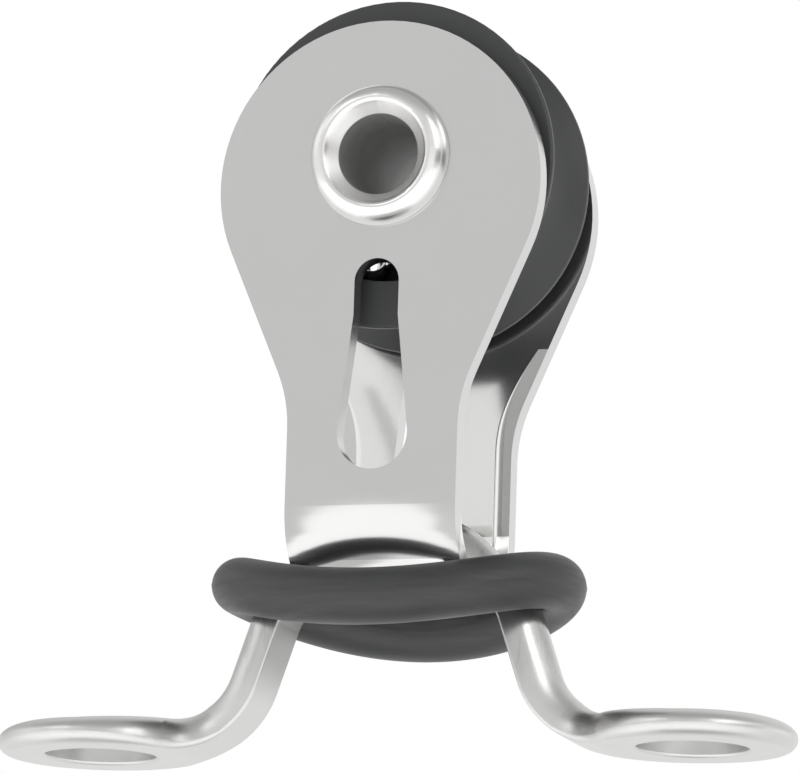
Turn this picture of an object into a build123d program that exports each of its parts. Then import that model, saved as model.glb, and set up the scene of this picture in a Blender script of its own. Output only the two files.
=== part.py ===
"""Stand-up ball-bearing line block on a two-hole saddle, held upright by a rubber ring.

Millimetres. +Z is up from the deck, X runs along the two feet, and Y along the axle.
The origin is on the deck, midway between the feet.
"""
import os
from math import asin, cos, degrees, pi, radians, sin, sqrt, tan

from build123d import *

os.makedirs("parts", exist_ok=True)

# Sheave
sheave_diameter = 15.0
sheave_width = 6.2
groove_depth = 1.4
tread_wall = 0.72
flange_lip = 0.35
flange_round = 0.12
web_width = 1.9

# Ball race: two full rows of loose balls between the hub and the sheave
ball_diameter = 2.0
race_clearance = 0.02
ball_side_clearance = 0.05
hub_land = 0.16
web_clearance = 0.25
hub_groove_ease = 0.015
hub_end_clearance = 0.02

# Axle: one tube with both ends rolled over the cheeks
axle_height = 26.25
axle_tube_diameter = 4.6
axle_bore_diameter = 3.68
axle_clearance = 0.02
head_diameter = 6.4
head_crest_diameter = 4.84
head_crest_round = 0.25
head_height = 0.97
head_rim = 0.1
funnel_depth = 0.6

# Strap: one strip of sheet bent into both cheeks
strap_thickness = 1.0
cheek_gap = 7.7
cheek_head_radius = 7.46
cheek_head_drop = 1.27
neck_width = 7.9
neck_top_below_axle = 10.95
neck_blend_radius = 6.6
bend_outer_radius = 3.2
waist_width = 4.0
waist_notch_length = 5.9
strap_floor_drop = 1.15

# Keyhole slot in each cheek
slot_top_below_axle = 4.67
slot_bottom_below_axle = 14.21
slot_top_radius = 1.03
slot_bottom_radius = 1.63
slot_parallel_length = 1.6

# Saddle: a bow of D-section wire that flattens into two eyes
foot_spacing = 27.6
eye_diameter = 9.3
foot_hole_diameter = 5.05
foot_hole_round = 0.15
foot_thickness = 1.32
foot_under_round = 0.55
wire_width = 3.1
wire_thickness = 1.7
wire_corner = 1.45
wire_under_round = 0.15
bow_crown_height = 11.07
bow_crown_radius = 6.1
bow_shoulder_angle = 45.0
bow_shoulder_radius = 2.3
leg_angle = 71.5
leg_half_span = 7.01
foot_bend_radius = 4.3
web_blend_radius = 3.0
flare_sections = 5
foot_sections = 4

# Rubber ring round both legs
ring_section_diameter = 2.57
ring_top_rise = 0.3
ring_tuck_under = 0.82
ring_leg_rise = 1.33
ring_seat_depth = 0.33
ring_seat_clearance = 0.03
ring_quarter_spans = 4

# Heights and radii worked out from the driving sizes
tread_radius = sheave_diameter / 2 - groove_depth
race_bore_radius = tread_radius - tread_wall
ball_radius = ball_diameter / 2
pitch_radius = race_bore_radius - race_clearance - ball_radius
balls_per_row = int(pi / asin(ball_radius / pitch_radius))
hub_groove_radius = pitch_radius - ball_radius - race_clearance
hub_land_radius = hub_groove_radius + hub_land
web_bore_radius = hub_land_radius + web_clearance
row_offset = web_width / 2 + ball_side_clearance + ball_radius
hub_length = cheek_gap - 2 * hub_end_clearance
cheek_outside = cheek_gap / 2 + strap_thickness
bow_underside = bow_crown_height - wire_thickness
bow_inner_radius = bow_crown_radius - wire_thickness
strap_floor = bow_underside - strap_floor_drop
strap_bottom = strap_floor - strap_thickness
bend_inner_radius = bend_outer_radius - strap_thickness
bend_height = strap_bottom + bend_outer_radius
cheek_top = axle_height - cheek_head_drop + cheek_head_radius
eye_radius = eye_diameter / 2
eye_centre = foot_spacing / 2
leg = radians(leg_angle)
foot_bend_end = leg_half_span + foot_bend_radius * tan(leg / 2)
ring_radius = ring_section_diameter / 2
ring_side_half_span = cheek_outside + ring_radius - ring_tuck_under
ring_side_height = strap_bottom + ring_top_rise - ring_radius
ring_leg_height = ring_side_height + ring_leg_rise
leg_outside = leg_half_span - ring_leg_height / tan(leg) + wire_thickness / sin(leg)
ring_leg_half_span = leg_outside + (ring_radius - ring_seat_depth) / sin(leg)


# Sheave: round-bottomed groove outside, a stepped race bore inside
with BuildPart() as sheave:
    rim_half_chord = sheave_width / 2 - flange_lip
    groove_radius = (rim_half_chord**2 + groove_depth**2) / (2 * groove_depth)
    with BuildSketch(Plane.YZ):
        with Locations((0, axle_height)):
            Rectangle(sheave_width, sheave_diameter / 2, align=(Align.CENTER, Align.MIN))
            Rectangle(
                sheave_width, race_bore_radius, align=(Align.CENTER, Align.MIN), mode=Mode.SUBTRACT
            )
        with Locations((0, axle_height + tread_radius + groove_radius)):
            Circle(groove_radius, mode=Mode.SUBTRACT)
        with Locations((0, axle_height + web_bore_radius)):
            Rectangle(web_width, tread_radius - web_bore_radius, align=(Align.CENTER, Align.MIN))
    revolve(axis=Axis((0, 0, axle_height), (0, 1, 0)))
    rim_edges = sheave.edges().filter_by(GeomType.CIRCLE).group_by(lambda edge: edge.radius)[-1]
    fillet(rim_edges, flange_round)

# Hub: the inner race, a sleeve on the axle with one ball groove for each row
with BuildPart() as hub:
    with BuildSketch(Plane.YZ):
        with Locations((0, axle_height + (axle_tube_diameter / 2 + axle_clearance + hub_land_radius) / 2)):
            Rectangle(hub_length, hub_land_radius - axle_tube_diameter / 2 - axle_clearance)
        with Locations((-row_offset, axle_height + pitch_radius), (row_offset, axle_height + pitch_radius)):
            Circle(ball_radius + race_clearance + hub_groove_ease, mode=Mode.SUBTRACT)
    revolve(axis=Axis((0, 0, axle_height), (0, 1, 0)))


def make_ball(row_side, index):
    """One loose ball of a row; the rows are staggered by half a pitch."""
    turn = (index + (0.5 if row_side > 0 else 0)) * 2 * pi / balls_per_row
    place = (
        pitch_radius * sin(turn),
        row_side * row_offset,
        axle_height + pitch_radius * cos(turn),
    )
    with BuildPart() as ball:
        with Locations(place):
            Sphere(ball_radius)
    return ball


# Axle tube with two rolled heads
with BuildPart() as axle_tube:
    tube_radius = axle_tube_diameter / 2
    bore_radius = axle_bore_diameter / 2
    seat = cheek_outside + axle_clearance
    crest = cheek_outside + head_height
    crest_radius = head_crest_diameter / 2
    head_radius = head_diameter / 2
    rim = seat + head_rim
    with BuildSketch(Plane.YZ) as tube_profile:
        with BuildLine():
            Polyline(
                (rim, axle_height + head_radius),
                (seat, axle_height + head_radius),
                (seat, axle_height + tube_radius),
                (0, axle_height + tube_radius),
                (0, axle_height + bore_radius),
                (crest - funnel_depth, axle_height + bore_radius),
                (crest, axle_height + crest_radius),
            )
            EllipticalCenterArc(
                (rim, axle_height + crest_radius), crest - rim, head_radius - crest_radius, 0
            )
        make_face()
        fillet(tube_profile.vertices().sort_by(Axis.X)[-1], head_crest_round)
    revolve(axis=Axis((0, 0, axle_height), (0, 1, 0)))
    mirror(about=Plane.XZ)

# Strap: the bent strip, cut to the cheeks' outline, slotted and waisted under the bow
with BuildPart() as strap:
    strap_height = cheek_top - strap_bottom
    with BuildSketch(Plane.YZ) as bend_outside:
        with Locations((0, strap_bottom)):
            Rectangle(2 * cheek_outside, strap_height, align=(Align.CENTER, Align.MIN))
        fillet(bend_outside.vertices().group_by(Axis.Y)[0], bend_outer_radius)
    extrude(amount=2 * cheek_head_radius, both=True)
    with BuildSketch(Plane.YZ) as bend_inside:
        with Locations((0, strap_floor)):
            Rectangle(cheek_gap, strap_height, align=(Align.CENTER, Align.MIN))
        fillet(bend_inside.vertices().group_by(Axis.Y)[0], bend_inner_radius)
    extrude(amount=2 * cheek_head_radius, both=True, mode=Mode.SUBTRACT)

    neck_top = axle_height - neck_top_below_axle
    with BuildSketch(Plane.XZ) as outline:
        with BuildLine():
            CenterArc((0, axle_height - cheek_head_drop), cheek_head_radius, 0, 360)
            Line((-neck_width / 2, neck_top), (neck_width / 2, neck_top))
        make_hull()
        with Locations((0, neck_top)):
            Rectangle(neck_width, neck_top - strap_bottom + 1, align=(Align.CENTER, Align.MAX))
        blends = outline.vertices().filter_by(
            lambda point: abs(point.Y - neck_top) < 1e-6 and abs(abs(point.X) - neck_width / 2) < 1e-6
        )
        fillet(blends, neck_blend_radius)
    extrude(amount=2 * cheek_outside, both=True, mode=Mode.INTERSECT)

    slot_top = axle_height - slot_top_below_axle - slot_top_radius
    slot_bottom = axle_height - slot_bottom_below_axle + slot_bottom_radius
    with BuildSketch(Plane.XZ):
        with BuildLine():
            CenterArc((0, slot_top - slot_parallel_length), slot_top_radius, 0, 360)
            CenterArc((0, slot_bottom), slot_bottom_radius, 0, 360)
        make_hull()
        with Locations((0, slot_top - slot_parallel_length / 2)):
            SlotCenterToCenter(slot_parallel_length, 2 * slot_top_radius, rotation=90)
    extrude(amount=2 * cheek_outside, both=True, mode=Mode.SUBTRACT)

    with BuildSketch(Plane.XZ):
        with Locations((0, axle_height)):
            Circle(axle_tube_diameter / 2 + axle_clearance)
    extrude(amount=2 * cheek_outside, both=True, mode=Mode.SUBTRACT)

    with BuildSketch(Plane.XY.offset(strap_bottom - 1)):
        with Locations((-neck_width / 2, 0), (neck_width / 2, 0)):
            Ellipse((neck_width - waist_width) / 2, waist_notch_length / 2)
    extrude(amount=bend_height - strap_bottom + 1, mode=Mode.SUBTRACT)


def wire_section(plane, half_width, thickness, under_round):
    """Half-round bar on a plane across the wire: flat below, wide round corners above."""
    flat = half_width - wire_corner
    floor = half_width - under_round
    crest = thickness - under_round
    with BuildSketch(plane) as section:
        with BuildLine():
            Line((-floor, 0), (floor, 0))
            EllipticalCenterArc((floor, under_round), under_round, under_round, start_angle=270)
            EllipticalCenterArc((flat, under_round), wire_corner, crest, start_angle=0)
            Line((flat, thickness), (-flat, thickness))
            EllipticalCenterArc((-flat, under_round), wire_corner, crest, start_angle=90)
            EllipticalCenterArc((-floor, under_round), under_round, under_round, start_angle=180)
        make_face()
    return section.sketch


def plan_half_width(x):
    """Half the foot's width at a distance from the middle: wire, blend, then the eye."""
    blend_y = wire_width / 2 + web_blend_radius
    reach = eye_radius + web_blend_radius
    blend_x = eye_centre - sqrt(reach**2 - blend_y**2)
    touch_x = eye_centre - eye_radius * (eye_centre - blend_x) / reach
    if x <= blend_x:
        return wire_width / 2
    if x <= touch_x:
        return blend_y - sqrt(web_blend_radius**2 - (x - blend_x) ** 2)
    return sqrt(max(eye_radius**2 - (eye_centre - x) ** 2, 0))


def foot_bend_section(turn):
    """Plane across the wire where the foot's bend has this many degrees left to level."""
    angle = radians(turn)
    place = (
        foot_bend_end - foot_bend_radius * sin(angle),
        0,
        foot_bend_radius * (1 - cos(angle)),
    )
    return Plane(origin=place, x_dir=(0, 1, 0), z_dir=(cos(angle), 0, -sin(angle)))


# Saddle: bow, legs and feet in one piece
with BuildPart() as saddle:
    apex_corner = bow_underside + bow_inner_radius * (1 / cos(radians(bow_shoulder_angle)) - 1)
    shoulder_slope = tan(radians(bow_shoulder_angle))
    shoulder_x = (apex_corner - leg_half_span * tan(leg)) / (shoulder_slope - tan(leg))
    shoulder_z = apex_corner - shoulder_slope * shoulder_x
    blend_start = eye_centre - sqrt(
        (eye_radius + web_blend_radius) ** 2 - (wire_width / 2 + web_blend_radius) ** 2
    )
    flare_turn = degrees(asin((foot_bend_end - blend_start) / foot_bend_radius))
    flare_start = foot_bend_section(flare_turn).origin
    foot_bend_start = (
        foot_bend_end - foot_bend_radius * sin(leg),
        foot_bend_radius * (1 - cos(leg)),
    )
    with BuildLine(Plane.XZ) as wire_path:
        crown = CenterArc(
            (0, bow_underside - bow_inner_radius), bow_inner_radius, 90, -bow_shoulder_angle
        )
        shoulder = FilletPolyline(
            crown @ 1, (shoulder_x, shoulder_z), foot_bend_start, radius=bow_shoulder_radius
        )
        TangentArc(shoulder @ 1, (flare_start.X, flare_start.Z), tangent=shoulder % 1)
    crown_plane = Plane(origin=(0, 0, bow_underside), x_dir=(0, 1, 0), z_dir=(1, 0, 0))
    wire = wire_section(crown_plane, wire_width / 2, wire_thickness, wire_under_round)
    sweep(wire, path=wire_path.wires()[0])

    steps = flare_sections + foot_sections
    thinning = (wire_thickness - foot_thickness) / steps
    rounding = (foot_under_round - wire_under_round) / steps
    flare = []
    for step in range(flare_sections + 1):
        bend_plane = foot_bend_section(flare_turn * (1 - step / flare_sections))
        half_width = plan_half_width(bend_plane.origin.X)
        thickness = wire_thickness - step * thinning
        flare.append(
            wire_section(bend_plane, half_width, thickness, wire_under_round + step * rounding)
        )
    loft(flare)
    foot = []
    for step in range(foot_sections + 1):
        x = foot_bend_end + (eye_centre - foot_bend_end) * step / foot_sections
        foot_plane = Plane(origin=(x, 0, 0), x_dir=(0, 1, 0), z_dir=(1, 0, 0))
        thickness = wire_thickness - (flare_sections + step) * thinning
        under_round = wire_under_round + (flare_sections + step) * rounding
        foot.append(wire_section(foot_plane, plan_half_width(x), thickness, under_round))
    loft(foot)

    with BuildSketch(Plane(origin=(eye_centre, 0, 0), x_dir=(0, 1, 0), z_dir=(1, 0, 0))):
        with BuildLine():
            flat = eye_radius - wire_corner
            floor = eye_radius - foot_under_round
            crest = foot_thickness - foot_under_round
            Line((0, 0), (floor, 0))
            EllipticalCenterArc(
                (floor, foot_under_round), foot_under_round, foot_under_round, start_angle=270
            )
            EllipticalCenterArc((flat, foot_under_round), wire_corner, crest, start_angle=0)
            Line((flat, foot_thickness), (0, foot_thickness))
            Line((0, foot_thickness), (0, 0))
        make_face()
    revolve(axis=Axis((eye_centre, 0, 0), (0, 0, 1)), revolution_arc=-180)
    with BuildSketch(Plane.XY.offset(-1)):
        with Locations((eye_centre, 0)):
            Circle(foot_hole_diameter / 2)
    extrude(amount=foot_thickness + 2, mode=Mode.SUBTRACT)
    hole_edges = saddle.edges().filter_by(
        lambda edge: edge.geom_type == GeomType.CIRCLE
        and abs(edge.radius - foot_hole_diameter / 2) < 1e-6
    )
    fillet(hole_edges, foot_hole_round)
    mirror(about=Plane.YZ)


def ring_point(turn):
    """A point on the ring's centre line: an oval that dips between the legs."""
    return (
        ring_leg_half_span * cos(turn),
        ring_side_half_span * sin(turn),
        ring_side_height + ring_leg_rise * cos(turn) ** 2,
    )


# Rubber ring, a quarter mirrored twice, with a seat pressed into it by each leg
with BuildPart() as ring:
    with BuildLine() as ring_path:
        Spline(
            *[ring_point(pi / 2 * n / ring_quarter_spans) for n in range(ring_quarter_spans + 1)],
            tangents=[(0, 1, 0), (-1, 0, 0)],
        )
    with BuildSketch(Plane(origin=ring_point(0), x_dir=(1, 0, 0), z_dir=(0, 1, 0))):
        Circle(ring_radius)
    sweep(path=ring_path.wires()[0])
    seat_section = wire_section(
        crown_plane,
        wire_width / 2 + ring_seat_clearance,
        wire_thickness + ring_seat_clearance,
        wire_under_round,
    )
    sweep(seat_section, path=wire_path.wires()[0], mode=Mode.SUBTRACT)
    mirror(about=Plane.XZ)
    mirror(about=Plane.YZ)

pieces = {
    "saddle": saddle,
    "strap": strap,
    "axle_tube": axle_tube,
    "hub": hub,
    "sheave": sheave,
    "ring": ring,
}
for row_name, row_side in (("front", -1), ("rear", 1)):
    for index in range(balls_per_row):
        pieces[f"{row_name}_ball_{index + 1:02d}"] = make_ball(row_side, index)

for label, piece in pieces.items():
    piece.part.label = label
    export_step(piece.part, f"parts/{label}.step")
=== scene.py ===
import math

import bmesh
import bpy
from mathutils import Matrix, Vector


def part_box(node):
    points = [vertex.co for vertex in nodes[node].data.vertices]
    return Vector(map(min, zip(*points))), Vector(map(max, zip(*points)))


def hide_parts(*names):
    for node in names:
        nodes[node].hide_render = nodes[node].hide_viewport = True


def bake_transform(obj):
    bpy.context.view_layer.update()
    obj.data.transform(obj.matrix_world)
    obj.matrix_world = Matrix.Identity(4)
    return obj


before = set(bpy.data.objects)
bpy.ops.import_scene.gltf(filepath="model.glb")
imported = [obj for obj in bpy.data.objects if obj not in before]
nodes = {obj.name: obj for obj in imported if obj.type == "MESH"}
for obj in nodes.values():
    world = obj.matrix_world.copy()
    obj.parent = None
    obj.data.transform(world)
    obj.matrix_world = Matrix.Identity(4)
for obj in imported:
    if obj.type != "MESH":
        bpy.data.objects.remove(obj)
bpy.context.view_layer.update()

MM = 0.001

# Camera: fitted to the photograph
CAMERA_AZIMUTH = math.radians(17.0)
CAMERA_ELEVATION = math.radians(-10.8)
CAMERA_ROLL = math.radians(1.8)
CAMERA_DISTANCE = 381 * MM
CAMERA_TARGET = Vector((-0.24, 0, 16.66)) * MM
PIXELS_PER_MM = 22.22
IMAGE_WIDTH = 800
SENSOR_WIDTH = 36.0
CLIP_START = 10 * MM

# Sizes of the CAD pieces, from part.py. Materials measure in millimetres, so these carry no unit factor
AXLE_HEIGHT = 26.25
AXLE_BORE_RADIUS = 1.84
FUNNEL_RADIUS = 2.42
STRAP_INSIDE = 3.85
NECK_HALF = 3.95
NECK_TOP = 15.3
NECK_BLEND = 6.6
FOOT_TOP = 2.0
LEG_START = 4.5

# How far from those sizes one look of a material gives way to the next, in millimetres
INSIDE_MARGIN = 0.02
BORE_FULL = 0.01
BORE_CLEAR = 0.03
FUNNEL_FADE = 0.3

# How far the noise falls below a scratch's threshold until the scratch is at full depth
SCRATCH_EDGE = 0.03

# The legs' flat side faces inward and down alike; that direction has this much of each
FLAT_FACING = 0.707

# The neck's inner edges roll over; the roll narrows to nothing up the flare. In millimetres
ROLL_WIDTH = 0.85
ROLL_FULL_AT = 0.3
ROLL_SLOPE = 1.3
ROLL_TOP = 19.0
ROLL_FULL_BELOW = NECK_TOP - 1.0

# The strap's bend as pressed: it starts softly, and its sides stand out from the middle. In millimetres
BEND_START = 11.0
BEND_LEAD_LENGTH = 1.7
BEND_LEAD_DEPTH = 0.15
BEND_CROWN = 0.12
TUCK_START = 9.25
BEND_TUCK = 0.12

# Rubber ring
RING_RADIUS = 1.285 * MM
RING_TOP_RISE = 0.3 * MM
RING_TUCK_UNDER = 0.82 * MM
RING_LEG_RISE = 1.33 * MM
RING_SEAT_GAP = 0.02 * MM
RING_FLASH = 0.02 * MM
RING_FLASH_WIDTH = math.radians(4)
RING_STEPS = 168
RING_SIDES = 72
TANGENT_STEP = 0.01
WELD_DISTANCE = 0.0005 * MM

STRAP_EDGE_ROUND = 0.36 * MM
EDGE_SEGMENTS = 3
SHARP_EDGE = math.radians(35)
FLAT_FACES = math.radians(0.3)

FLOOR_GAP = 0.1 * MM
FLOOR_SIZE = 700 * MM
SPECKS_PER_METRE = 400.0

# The studio's level against the turn in degrees, from straight in front: near the horizon, and above it
LOW_PANELS = (
    (-180, 0.98), (-160, 0.98), (-140, 0.92), (-112, 0.80), (-85, 0.95), (-52, 0.92), (-30, 0.93),
    (-18, 0.81), (5, 0.83), (22, 1.05), (42, 1.0), (58, 0.30), (84, 0.22), (102, 1.25),
    (135, 1.25), (155, 1.0), (180, 0.98),
)
HIGH_PANELS = (
    (-180, 0.90), (-160, 0.70), (-141, 0.55), (-112, 0.78), (-84, 1.20), (-64, 1.15), (-52, 0.78),
    (-42, 0.88), (-28, 0.86), (-10, 0.81), (20, 0.83), (38, 0.92), (52, 1.25), (66, 1.65),
    (82, 1.20), (110, 0.88), (144, 0.80), (165, 0.92), (180, 0.90),
)
# Level of the lit table and of the ceiling, from front to back, and of the spot right below the block
TABLE_LEVELS = ((0.0, 1.50), (0.35, 1.40), (0.60, 1.05), (1.0, 1.0))
CEILING_LEVELS = ((0.0, 0.62), (0.5, 0.48), (0.66, 0.60), (0.82, 0.98), (1.0, 0.95))
UNDER_LEVEL = 0.55
# Where one part of the studio passes into the next, as the height of a direction, -1 to 1
LOW_TO_HIGH = (0.17, 0.32)
TO_TABLE = (-0.03, -0.15)
TO_UNDER = (-0.84, -0.95)
TO_CEILING = (0.50, 0.80)
# The white backdrop behind the block, as how far back a direction points
BACKDROP = (0.82, 0.94)

# Soft boxes: direction, size in metres, power in watts
LIGHT_DISTANCE = 0.30
LIGHT_AIM = Vector((0, 0, 16)) * MM
LIGHTS = {
    "key": ((-0.55, -0.75, 0.75), (0.16, 0.10), 0.05),
    "fill": ((0.695, -0.486, 0.53), (0.10, 0.12), 0.06),
}


def make_camera():
    """Place the camera on its line to the target, rolled as in the photograph."""
    a, e, roll = CAMERA_AZIMUTH, CAMERA_ELEVATION, CAMERA_ROLL
    back = Vector((math.sin(a) * math.cos(e), -math.cos(a) * math.cos(e), math.sin(e)))
    level_right = Vector((math.cos(a), math.sin(a), 0))
    level_up = back.cross(level_right)
    right = level_right * math.cos(roll) + level_up * math.sin(roll)
    up = -level_right * math.sin(roll) + level_up * math.cos(roll)
    data = bpy.data.cameras.new("camera")
    data.sensor_width = SENSOR_WIDTH
    data.lens = PIXELS_PER_MM * (CAMERA_DISTANCE / MM) / IMAGE_WIDTH * SENSOR_WIDTH
    data.clip_start = CLIP_START
    camera = bpy.data.objects.new("camera", data)
    bpy.context.scene.collection.objects.link(camera)
    place = CAMERA_TARGET + back * CAMERA_DISTANCE
    camera.matrix_world = Matrix((
        (right.x, up.x, back.x, place.x),
        (right.y, up.y, back.y, place.y),
        (right.z, up.z, back.z, place.z),
        (0, 0, 0, 1),
    ))
    bpy.context.scene.camera = camera


class Graph:
    """A node tree with short calls to add nodes and join them."""

    def __init__(self, tree):
        self.tree = tree

    def add(self, kind, **settings):
        node = self.tree.nodes.new(kind)
        for name, value in settings.items():
            setattr(node, name, value)
        return node

    def feed(self, socket, value):
        """Join an output to a socket, or set the socket's own value."""
        if isinstance(value, bpy.types.NodeSocket):
            self.tree.links.new(value, socket)
        elif isinstance(value, tuple) and len(value) == 3 and socket.type == "RGBA":
            socket.default_value = (*value, 1)
        else:
            socket.default_value = value

    def feed_all(self, node, values):
        for socket, value in zip(node.inputs, values):
            self.feed(socket, value)

    def math(self, operation, *values, clamp=False):
        node = self.add("ShaderNodeMath", operation=operation, use_clamp=clamp)
        self.feed_all(node, values)
        return node.outputs[0]

    def vector(self, operation, *values):
        node = self.add("ShaderNodeVectorMath", operation=operation)
        self.feed_all(node, values)
        return node.outputs["Value" if operation == "LENGTH" else "Vector"]

    def range(self, value, low, high, out_low=0.0, out_high=1.0, smooth=True):
        node = self.add("ShaderNodeMapRange", interpolation_type="SMOOTHSTEP" if smooth else "LINEAR")
        self.feed_all(node, (value, low, high, out_low, out_high))
        return node.outputs[0]

    def mix(self, factor, one, two):
        """Blend two colours, which are the node's colour sockets A and B."""
        node = self.add("ShaderNodeMix", data_type="RGBA")
        self.feed(node.inputs["Factor"], factor)
        self.feed(node.inputs[6], one)
        self.feed(node.inputs[7], two)
        return node.outputs[2]

    def noise(self, place, scale, detail=3.0, roughness=0.55):
        node = self.add("ShaderNodeTexNoise")
        self.feed(node.inputs["Vector"], place)
        self.feed(node.inputs["Scale"], scale)
        self.feed(node.inputs["Detail"], detail)
        self.feed(node.inputs["Roughness"], roughness)
        return node.outputs[0]

    def streaks(self, place, scales, detail=3.0, roughness=0.55):
        """Noise with its own scale along each axis; it runs long where the scale is small."""
        return self.noise(self.vector("MULTIPLY", place, scales), 1.0, detail, roughness)

    def split(self, vector):
        node = self.add("ShaderNodeSeparateXYZ")
        self.feed(node.inputs[0], vector)
        return node.outputs[0], node.outputs[1], node.outputs[2]

    def join(self, x, y, z):
        node = self.add("ShaderNodeCombineXYZ")
        self.feed_all(node, (x, y, z))
        return node.outputs[0]

    def turned(self, kind, vector, one, two):
        """A vector taken from one space to another."""
        node = self.add("ShaderNodeVectorTransform", vector_type=kind, convert_from=one, convert_to=two)
        self.feed(node.inputs[0], vector)
        return node.outputs[0]

    def surface_normal(self):
        return self.add("ShaderNodeNewGeometry").outputs["Normal"]

    def bump(self, height, strength, distance, normal=None):
        node = self.add("ShaderNodeBump")
        node.inputs["Strength"].default_value = strength
        node.inputs["Distance"].default_value = distance
        self.feed(node.inputs["Height"], height)
        if normal is not None:
            self.feed(node.inputs["Normal"], normal)
        return node.outputs[0]

    def ramp(self, value, stops):
        """A grey ramp from pairs of position, 0 to 1, and level."""
        node = self.add("ShaderNodeValToRGB")
        self.feed(node.inputs[0], value)
        elements = node.color_ramp.elements
        while len(elements) < len(stops):
            elements.new(0.5)
        for element, (position, level) in zip(elements, stops):
            element.position = position
            element.color = (level, level, level, 1)
        return node.outputs[0]


def make_material(name, metallic, specular=0.5):
    """A material with its graph, its shader, and its place in millimetres."""
    material = bpy.data.materials.new(name)
    material.use_nodes = True
    graph = Graph(material.node_tree)
    shader = material.node_tree.nodes["Principled BSDF"]
    shader.inputs["Metallic"].default_value = metallic
    shader.inputs["Specular IOR Level"].default_value = specular
    coordinate = graph.add("ShaderNodeTexCoord").outputs["Object"]
    place = graph.vector("MULTIPLY", coordinate, (1 / MM, 1 / MM, 1 / MM))
    return material, graph, shader, place


def about_axle(graph, place):
    """The distance from the axle's middle line, and the place along it."""
    x, y, z = graph.split(place)
    out = graph.vector("LENGTH", graph.join(x, 0.0, graph.math("SUBTRACT", z, AXLE_HEIGHT)))
    return out, y


def turning_rings(graph, out, along, per_mm_out, per_mm_along, detail=3.0):
    """Fine rings about the axle, as a lathe leaves them."""
    across_rings = graph.math("MULTIPLY", out, per_mm_out)
    along_axle = graph.math("MULTIPLY", along, per_mm_along)
    return graph.noise(graph.join(across_rings, along_axle, 0.0), 1.0, detail=detail)


def scratches(graph, place, turn, per_mm, length, share):
    """Thin straight scratches in one direction, as a height of 0 or below."""
    node = graph.add("ShaderNodeMapping")
    graph.feed(node.inputs["Vector"], place)
    node.inputs["Rotation"].default_value = (0, turn, 0)
    node.inputs["Scale"].default_value = (per_mm, per_mm, 1 / length)
    strokes = graph.noise(node.outputs[0], 1.0, detail=1.0)
    return graph.range(strokes, share, share - SCRATCH_EDGE, 0.0, -1.0)


def squared_below(graph, z, start):
    """The square of how far the surface lies below a height."""
    return graph.math("POWER", graph.math("MAXIMUM", graph.math("SUBTRACT", start, z), 0.0), 2.0)


def bend_form(graph, x, z):
    """The height that the pressing leaves on the strap's bend, in millimetres."""
    across = graph.math("POWER", graph.math("DIVIDE", graph.math("ABSOLUTE", x), NECK_HALF), 2.0)
    crown = graph.math("MULTIPLY", across, squared_below(graph, z, BEND_START))
    lead_in = graph.range(z, BEND_START, BEND_START - BEND_LEAD_LENGTH, 0.0, -BEND_LEAD_DEPTH)
    form = graph.math("MULTIPLY_ADD", crown, BEND_CROWN, lead_in)
    middle = graph.math("SUBTRACT", 1.0, across, clamp=True)
    tuck = graph.math("MULTIPLY", squared_below(graph, z, TUCK_START), middle)
    return graph.math("MULTIPLY_ADD", tuck, -BEND_TUCK, form)


def rolled_normal(graph, x, z, inside):
    """The surface's normal, leaned outward near the neck's edges on the inside."""
    above_neck = graph.math("MAXIMUM", graph.math("SUBTRACT", z, NECK_TOP), 0.0)
    left_over = graph.math("MULTIPLY_ADD", graph.math("MULTIPLY", above_neck, above_neck), -1.0,
                           NECK_BLEND ** 2)
    blend = graph.math("SQRT", graph.math("MAXIMUM", left_over, 0.0))
    outline = graph.math("SUBTRACT", NECK_HALF + NECK_BLEND, blend)
    from_edge = graph.math("SUBTRACT", outline, graph.math("ABSOLUTE", x))
    taper = graph.range(z, ROLL_TOP, ROLL_FULL_BELOW)
    slope = graph.range(from_edge, graph.math("MULTIPLY", taper, ROLL_WIDTH),
                        graph.math("MULTIPLY", taper, ROLL_FULL_AT), 0.0, ROLL_SLOPE)
    slope = graph.math("MULTIPLY", slope, inside)
    outward = graph.join(graph.math("MULTIPLY", slope, graph.math("SIGN", x)), 0.0, 0.0)
    lean = graph.turned("VECTOR", outward, "OBJECT", "WORLD")
    return graph.vector("NORMALIZE", graph.vector("ADD", graph.surface_normal(), lean))


def make_sheet_steel():
    """Satin rolled steel of the strap, with an upright grain and a little wear; its inside faces are
    painted brighter, as painted light that reaches in between the cheeks.
    """
    material, graph, shader, place = make_material("strap_steel", 1.0)
    x, y, z = graph.split(place)
    grain = graph.streaks(place, (9.0, 9.0, 0.35), detail=4.0, roughness=0.7)
    cloud = graph.noise(place, 0.22, detail=3.0)
    mottle = graph.noise(place, 2.6, detail=4.0, roughness=0.6)
    inside = graph.range(graph.math("ABSOLUTE", y), STRAP_INSIDE + INSIDE_MARGIN, STRAP_INSIDE)
    tone = graph.math("MULTIPLY_ADD", grain, 0.35, graph.math("MULTIPLY_ADD", cloud, 0.8, -0.575))
    outer = graph.mix(graph.math("ADD", tone, 0.5, clamp=True), (0.61, 0.61, 0.605), (0.65, 0.65, 0.645))
    # Painted light: the inside faces get a paler colour, for the light that reaches in between the cheeks.
    graph.feed(shader.inputs["Base Color"], graph.mix(inside, outer, (0.87, 0.87, 0.86)))
    rough = graph.math("MULTIPLY_ADD", mottle, 0.05, 0.17)
    graph.feed(shader.inputs["Roughness"], graph.math("MULTIPLY_ADD", inside, -0.07, rough))
    marks = graph.math("ADD", scratches(graph, place, 0.5, 7.0, 4.0, 0.30),
                       scratches(graph, place, -0.9, 6.0, 3.0, 0.29))
    height = graph.math("ADD", graph.math("MULTIPLY", grain, 0.6), graph.math("MULTIPLY", marks, 0.2))
    formed = graph.bump(bend_form(graph, x, z), 1.0, MM, rolled_normal(graph, x, z, inside))
    graph.feed(shader.inputs["Normal"], graph.bump(height, 0.06, 0.006 * MM, formed))
    return material


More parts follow.
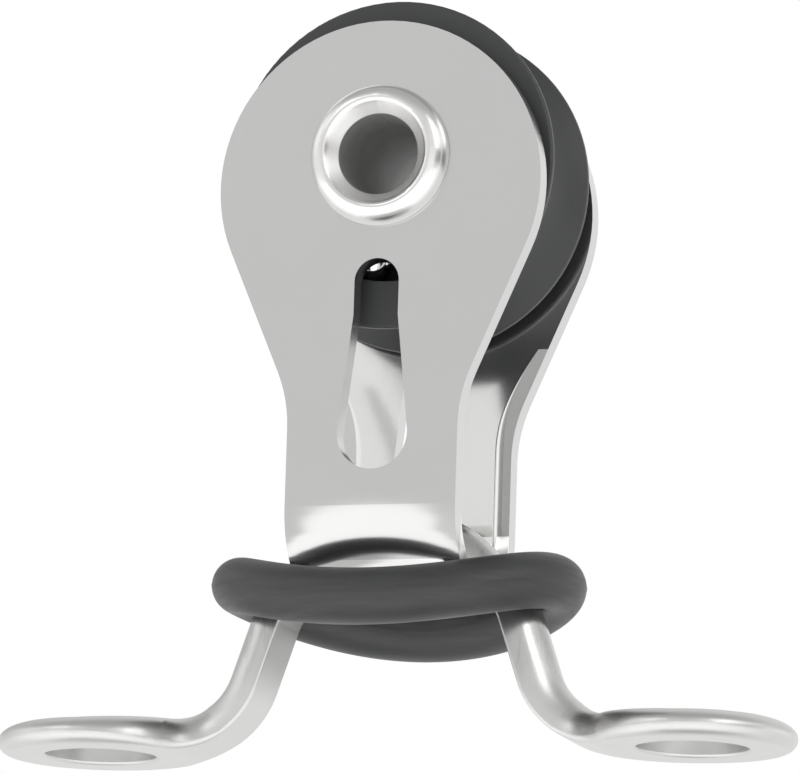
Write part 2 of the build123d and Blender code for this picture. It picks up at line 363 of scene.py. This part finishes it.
def make_bar_steel():
    """Bar steel of the saddle: polished round outside, matte flat underside, duller streaks on the legs.
    Its colours hold painted light and shade: the feet are painted lighter, as light from below, and the
    flat side is painted darker on the legs, as shade.
    """
    material, graph, shader, place = make_material("saddle_steel", 1.0)
    x, _, z = graph.split(graph.turned("NORMAL", graph.surface_normal(), "WORLD", "OBJECT"))
    spot_x, _, spot_z = graph.split(place)
    side = graph.math("SIGN", spot_x)
    inward = graph.math("MULTIPLY", graph.math("ADD", graph.math("MULTIPLY", x, side), z), -FLAT_FACING)
    flat = graph.range(inward, 0.50, 0.64)
    foot = graph.range(spot_z, LEG_START, FOOT_TOP)
    cloud = graph.noise(place, 0.45, detail=4.0)
    polish = graph.streaks(place, (2.2, 5.0, 2.2))
    # Painted light and shade: both sides are painted lighter on the feet, as light from below; the flat
    # side is painted darker on the legs, as shade.
    bright = graph.mix(foot, graph.mix(cloud, (0.52, 0.518, 0.508), (0.61, 0.606, 0.598)),
                       graph.mix(cloud, (0.60, 0.597, 0.588), (0.69, 0.686, 0.677)))
    flat_painted_shade_and_light = graph.mix(foot, graph.mix(cloud, (0.37, 0.37, 0.362), (0.44, 0.44, 0.43)),
                     graph.mix(cloud, (0.63, 0.63, 0.62), (0.71, 0.71, 0.697)))
    drawn = graph.streaks(place, (1.5, 1.5, 0.3), detail=5.0, roughness=0.6)
    round_leg = graph.math("SUBTRACT", 1.0, graph.math("MAXIMUM", foot, flat))
    tarnish = graph.math("MULTIPLY", graph.range(drawn, 0.46, 0.68, 0.0, 0.30), round_leg)
    graph.feed(shader.inputs["Base Color"],
               graph.mix(tarnish, graph.mix(flat, bright, flat_painted_shade_and_light), (0.20, 0.20, 0.195)))
    shine = graph.math("MULTIPLY_ADD", polish, 0.12, graph.math("MULTIPLY_ADD", foot, 0.16, 0.14))
    satin = graph.math("MULTIPLY_ADD", cloud, 0.12, 0.38)
    graph.feed(shader.inputs["Roughness"],
               graph.math("ADD", graph.math("MULTIPLY", satin, flat),
                          graph.math("MULTIPLY", shine, graph.math("SUBTRACT", 1.0, flat))))
    dents = graph.noise(place, 0.9, detail=2.0)
    tooling = graph.streaks(place, (3.0, 9.0, 3.0))
    height = graph.math("ADD", dents, graph.math("MULTIPLY", tooling, 0.08))
    graph.feed(shader.inputs["Normal"], graph.bump(height, 0.22, 0.03 * MM))
    return material


def make_rivet_steel():
    """Bright rolled rivet with a satin funnel, whose bore is painted dark, as painted shade inside the
    tube, and made rough.
    """
    material, graph, shader, place = make_material("rivet_steel", 1.0)
    out, along = about_axle(graph, place)
    bore = graph.range(out, AXLE_BORE_RADIUS + BORE_CLEAR, AXLE_BORE_RADIUS + BORE_FULL)
    funnel = graph.range(out, FUNNEL_RADIUS, FUNNEL_RADIUS - FUNNEL_FADE)
    rings = turning_rings(graph, out, along, 14.0, 9.0, detail=2.0)
    cloud = graph.noise(place, 1.1, detail=3.0)
    bright = graph.mix(cloud, (0.72, 0.715, 0.705), (0.84, 0.835, 0.825))
    # Painted shade: the bore gets a darker colour, for the shade inside the tube.
    dark = graph.mix(graph.noise(place, 0.8, detail=2.0), (0.34, 0.34, 0.337), (0.44, 0.44, 0.435))
    graph.feed(shader.inputs["Base Color"], graph.mix(bore, bright, dark))
    satin = graph.math("MULTIPLY_ADD", funnel, 0.22, graph.math("MULTIPLY_ADD", cloud, 0.08, 0.19))
    graph.feed(shader.inputs["Roughness"], graph.math("MULTIPLY_ADD", bore, 0.3, satin))
    height = graph.math("ADD", graph.noise(place, 1.6, detail=2.0), graph.math("MULTIPLY", rings, 0.15))
    graph.feed(shader.inputs["Normal"], graph.bump(height, 0.25, 0.025 * MM))
    return material


def make_ground_steel(name, low, high, roughness, per_mm):
    """Turned or ground steel of the bearing, with fine rings about the axle."""
    material, graph, shader, place = make_material(name, 1.0)
    out, along = about_axle(graph, place)
    rings = turning_rings(graph, out, along, per_mm, per_mm)
    cloud = graph.noise(place, 0.9, detail=3.0)
    graph.feed(shader.inputs["Base Color"], graph.mix(cloud, low, high))
    graph.feed(shader.inputs["Roughness"], graph.math("MULTIPLY_ADD", rings, 0.1, roughness))
    graph.feed(shader.inputs["Normal"], graph.bump(rings, 0.2, 0.01 * MM))
    return material


def make_plastic():
    """Black moulded acetal: faint turning rings, fine grain and a few pale scuffs."""
    material, graph, shader, place = make_material("sheave_plastic", 0.0, specular=0.42)
    out, along = about_axle(graph, place)
    rings = turning_rings(graph, out, along, 11.0, 11.0)
    grain = graph.noise(place, 18.0, detail=2.0)
    cloud = graph.noise(place, 0.35, detail=3.0)
    rubbed = graph.streaks(place, (1.2, 6.0, 1.2), detail=5.0, roughness=0.75)
    scuff = graph.range(rubbed, 0.62, 0.78, 0.0, 0.5)
    body = graph.mix(cloud, (0.036, 0.037, 0.038), (0.048, 0.049, 0.051))
    graph.feed(shader.inputs["Base Color"], graph.mix(scuff, body, (0.075, 0.075, 0.075)))
    graph.feed(shader.inputs["Roughness"], graph.math("MULTIPLY_ADD", cloud, 0.14, 0.38))
    height = graph.math("ADD", graph.math("MULTIPLY", rings, 0.7), graph.math("MULTIPLY", grain, 0.4))
    graph.feed(shader.inputs["Normal"], graph.bump(height, 0.25, 0.012 * MM))
    return material


def make_rubber():
    """Dull moulded rubber: fine grain, level rubbed streaks and a little dust."""
    material, graph, shader, place = make_material("ring_rubber", 0.0, specular=0.6)
    grain = graph.noise(place, 12.0, detail=4.0, roughness=0.65)
    cloud = graph.noise(place, 0.5, detail=4.0)
    swirl = graph.streaks(place, (0.35, 0.35, 4.5), detail=4.0, roughness=0.7)
    dust = graph.range(graph.noise(place, 7.0, detail=2.0), 0.68, 0.76, 0.0, 0.35)
    body = graph.mix(graph.math("MULTIPLY_ADD", swirl, 0.6, graph.math("MULTIPLY", cloud, 0.4)),
                     (0.008, 0.0083, 0.0087), (0.045, 0.046, 0.047))
    graph.feed(shader.inputs["Base Color"], graph.mix(dust, body, (0.08, 0.08, 0.08)))
    dullness = graph.math("MULTIPLY_ADD", swirl, -0.24, 0.52)
    graph.feed(shader.inputs["Roughness"], graph.math("MULTIPLY_ADD", cloud, 0.12, dullness))
    height = graph.math("ADD", graph.math("MULTIPLY", grain, 0.5), swirl)
    graph.feed(shader.inputs["Normal"], graph.bump(height, 0.3, 0.02 * MM))
    return material


def ring_centre(turn, spans):
    """A point on the ring's centre line: an oval that rises to the legs."""
    leg_span, side_span, side_height, leg_rise = spans
    return Vector((
        leg_span * math.cos(turn),
        side_span * math.sin(turn),
        side_height + leg_rise * math.cos(turn) ** 2,
    ))


def ring_loop(mesh, turn, spans):
    """The points of one section of the ring, with the moulding line inside and outside."""
    centre = ring_centre(turn, spans)
    ahead = ring_centre(turn + TANGENT_STEP, spans)
    along = (ahead - ring_centre(turn - TANGENT_STEP, spans)).normalized()
    up = (Vector((0, 0, 1)) - along * along.z).normalized()
    out = along.cross(up)
    loop = []
    for side in range(RING_SIDES):
        angle = 2 * math.pi * side / RING_SIDES
        from_line = math.asin(abs(math.sin(angle)))
        flash = RING_FLASH * math.exp(-((from_line / RING_FLASH_WIDTH) ** 2))
        radius = RING_RADIUS - RING_FLASH + flash
        loop.append(mesh.verts.new(centre + (out * math.cos(angle) + up * math.sin(angle)) * radius))
    return loop


def make_ring(material):
    """The rubber ring, pressed against the outside of both legs."""
    _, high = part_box("ring")
    strap_low, strap_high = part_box("strap")
    spans = (
        high[0] - RING_RADIUS,
        strap_high[1] + RING_RADIUS - RING_TUCK_UNDER,
        strap_low[2] + RING_TOP_RISE - RING_RADIUS,
        RING_LEG_RISE,
    )
    mesh = bmesh.new()
    loops = [ring_loop(mesh, 2 * math.pi * step / RING_STEPS, spans) for step in range(RING_STEPS)]
    for one, two in zip(loops, loops[1:] + loops[:1]):
        for side in range(RING_SIDES):
            after = (side + 1) % RING_SIDES
            mesh.faces.new((one[side], one[after], two[after], two[side]))
    bmesh.ops.recalc_face_normals(mesh, faces=mesh.faces)
    for face in mesh.faces:
        face.smooth = True
    data = bpy.data.meshes.new("rubber_ring")
    mesh.to_mesh(data)
    mesh.free()
    data.materials.append(material)
    piece = bpy.data.objects.new("rubber_ring", data)
    bpy.context.scene.collection.objects.link(piece)
    press_seats(piece)
    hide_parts("ring")
    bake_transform(piece)


def weld(data):
    """Join a mesh's points that lie on one another, so that it is closed."""
    mesh = bmesh.new()
    mesh.from_mesh(data)
    bmesh.ops.remove_doubles(mesh, verts=mesh.verts, dist=WELD_DISTANCE)
    bmesh.ops.dissolve_degenerate(mesh, edges=mesh.edges, dist=WELD_DISTANCE)
    mesh.to_mesh(data)
    mesh.free()


def press_seats(piece):
    """Cut the legs' shape, grown by a hair, out of the ring, and keep the result as its mesh."""
    cutter = bpy.data.objects.new("seat_cutter", nodes["saddle"].data.copy())
    bpy.context.scene.collection.objects.link(cutter)
    weld(cutter.data)
    grow = cutter.modifiers.new("grow", "DISPLACE")
    grow.strength = RING_SEAT_GAP
    grow.mid_level = 0
    cut = piece.modifiers.new("seats", "BOOLEAN")
    cut.operation = "DIFFERENCE"
    cut.solver = "EXACT"
    cut.object = cutter
    graph = bpy.context.evaluated_depsgraph_get()
    pressed = bpy.data.meshes.new_from_object(piece.evaluated_get(graph))
    weld(pressed)
    piece.modifiers.clear()
    piece.data = pressed
    cutter_mesh = cutter.data
    bpy.data.objects.remove(cutter)
    bpy.data.meshes.remove(cutter_mesh)


def round_edges(node, width):
    """Round a CAD node's sharp edges with modifiers."""
    piece = nodes[node]
    merge = piece.modifiers.new("merge_flat_faces", "DECIMATE")
    merge.decimate_type = "DISSOLVE"
    merge.angle_limit = FLAT_FACES
    bevel = piece.modifiers.new("round_edges", "BEVEL")
    bevel.width = width
    bevel.segments = EDGE_SEGMENTS
    bevel.limit_method = "ANGLE"
    bevel.angle_limit = SHARP_EDGE
    bevel.use_clamp_overlap = False
    bevel.harden_normals = True


def dress(node, material):
    """Give a CAD node one material."""
    mesh = nodes[node].data
    mesh.materials.clear()
    mesh.materials.append(material)


def make_floor():
    """A pale floor under the feet. It shows from above only, because the photograph looks up past it."""
    bpy.ops.mesh.primitive_plane_add(size=FLOOR_SIZE, location=(0, 0, -FLOOR_GAP))
    floor = bpy.context.object
    floor.name = "floor"
    material = bpy.data.materials.new("floor")
    material.use_nodes = True
    graph = Graph(material.node_tree)
    shader = material.node_tree.nodes["Principled BSDF"]
    place = graph.add("ShaderNodeTexCoord").outputs["Object"]
    speck = graph.streaks(place, (SPECKS_PER_METRE, SPECKS_PER_METRE, SPECKS_PER_METRE))
    graph.feed(shader.inputs["Base Color"], graph.mix(speck, (0.80, 0.80, 0.795), (0.84, 0.84, 0.835)))
    shader.inputs["Roughness"].default_value = 0.8
    clear = graph.add("ShaderNodeBsdfTransparent")
    back = graph.add("ShaderNodeNewGeometry").outputs["Backfacing"]
    blend = graph.add("ShaderNodeMixShader")
    graph.feed_all(blend, (back, shader.outputs[0], clear.outputs[0]))
    graph.feed(material.node_tree.nodes["Material Output"].inputs["Surface"], blend.outputs[0])
    floor.data.materials.append(material)
    floor.visible_diffuse = False
    floor.visible_glossy = False
    floor.visible_transmission = False
    floor.visible_shadow = False


def panels(graph, turned, stops):
    """The studio's level around one height, from stops in degrees."""
    return graph.ramp(turned, [((turn + 180) / 360, level) for turn, level in stops])


def make_world():
    """A pale studio: a white backdrop, and shaped from bright to grey for light and reflections."""
    world = bpy.data.worlds.new("studio")
    bpy.context.scene.world = world
    world.use_nodes = True
    graph = Graph(world.node_tree)
    background = world.node_tree.nodes["Background"]
    x, y, height = graph.split(graph.add("ShaderNodeTexCoord").outputs["Generated"])
    turn = graph.math("MULTIPLY", graph.math("ARCTAN2", x, graph.math("MULTIPLY", y, -1.0)), 180 / math.pi)
    turned = graph.range(turn, -180.0, 180.0, smooth=False)
    depth = graph.range(y, -1.0, 1.0, smooth=False)
    around = graph.mix(graph.range(height, *LOW_TO_HIGH), panels(graph, turned, LOW_PANELS),
                       panels(graph, turned, HIGH_PANELS))
    table = graph.mix(graph.range(height, *TO_UNDER), graph.ramp(depth, TABLE_LEVELS),
                      (UNDER_LEVEL, UNDER_LEVEL, UNDER_LEVEL))
    lower = graph.mix(graph.range(height, *TO_TABLE), around, table)
    studio = graph.mix(graph.range(height, *TO_CEILING), lower, graph.ramp(depth, CEILING_LEVELS))
    path = graph.add("ShaderNodeLightPath").outputs
    backdrop = graph.math("MULTIPLY", path["Is Glossy Ray"], graph.range(y, *BACKDROP))
    seen = graph.math("MAXIMUM", path["Is Camera Ray"], path["Is Transmission Ray"])
    seen = graph.math("MAXIMUM", seen, backdrop)
    graph.feed(background.inputs["Color"], graph.mix(seen, studio, (1.0, 1.0, 1.0)))


def make_light(name, direction, size, power):
    """One soft box that faces the block's middle."""
    data = bpy.data.lights.new(name, "AREA")
    data.shape = "RECTANGLE"
    data.size, data.size_y = size
    data.energy = power
    light = bpy.data.objects.new(name, data)
    bpy.context.scene.collection.objects.link(light)
    toward = Vector(direction).normalized()
    light.location = LIGHT_AIM + toward * LIGHT_DISTANCE
    light.rotation_euler = toward.to_track_quat("Z", "Y").to_euler()


make_camera()
dress("strap", make_sheet_steel())
dress("saddle", make_bar_steel())
dress("axle_tube", make_rivet_steel())
dress("hub", make_ground_steel("hub_steel", (0.52, 0.52, 0.52), (0.62, 0.62, 0.61), 0.22, 10.0))
dress("sheave", make_plastic())
ball_steel = make_ground_steel("ball_steel", (0.70, 0.70, 0.70), (0.80, 0.80, 0.80), 0.05, 3.0)
for node_name in nodes:
    if "_ball_" in node_name:
        dress(node_name, ball_steel)
round_edges("strap", STRAP_EDGE_ROUND)
make_ring(make_rubber())

make_floor()
make_world()
for light_name, (direction, size, power) in LIGHTS.items():
    make_light(light_name, direction, size, power)
bpy.context.scene.view_settings.view_transform = "Standard"
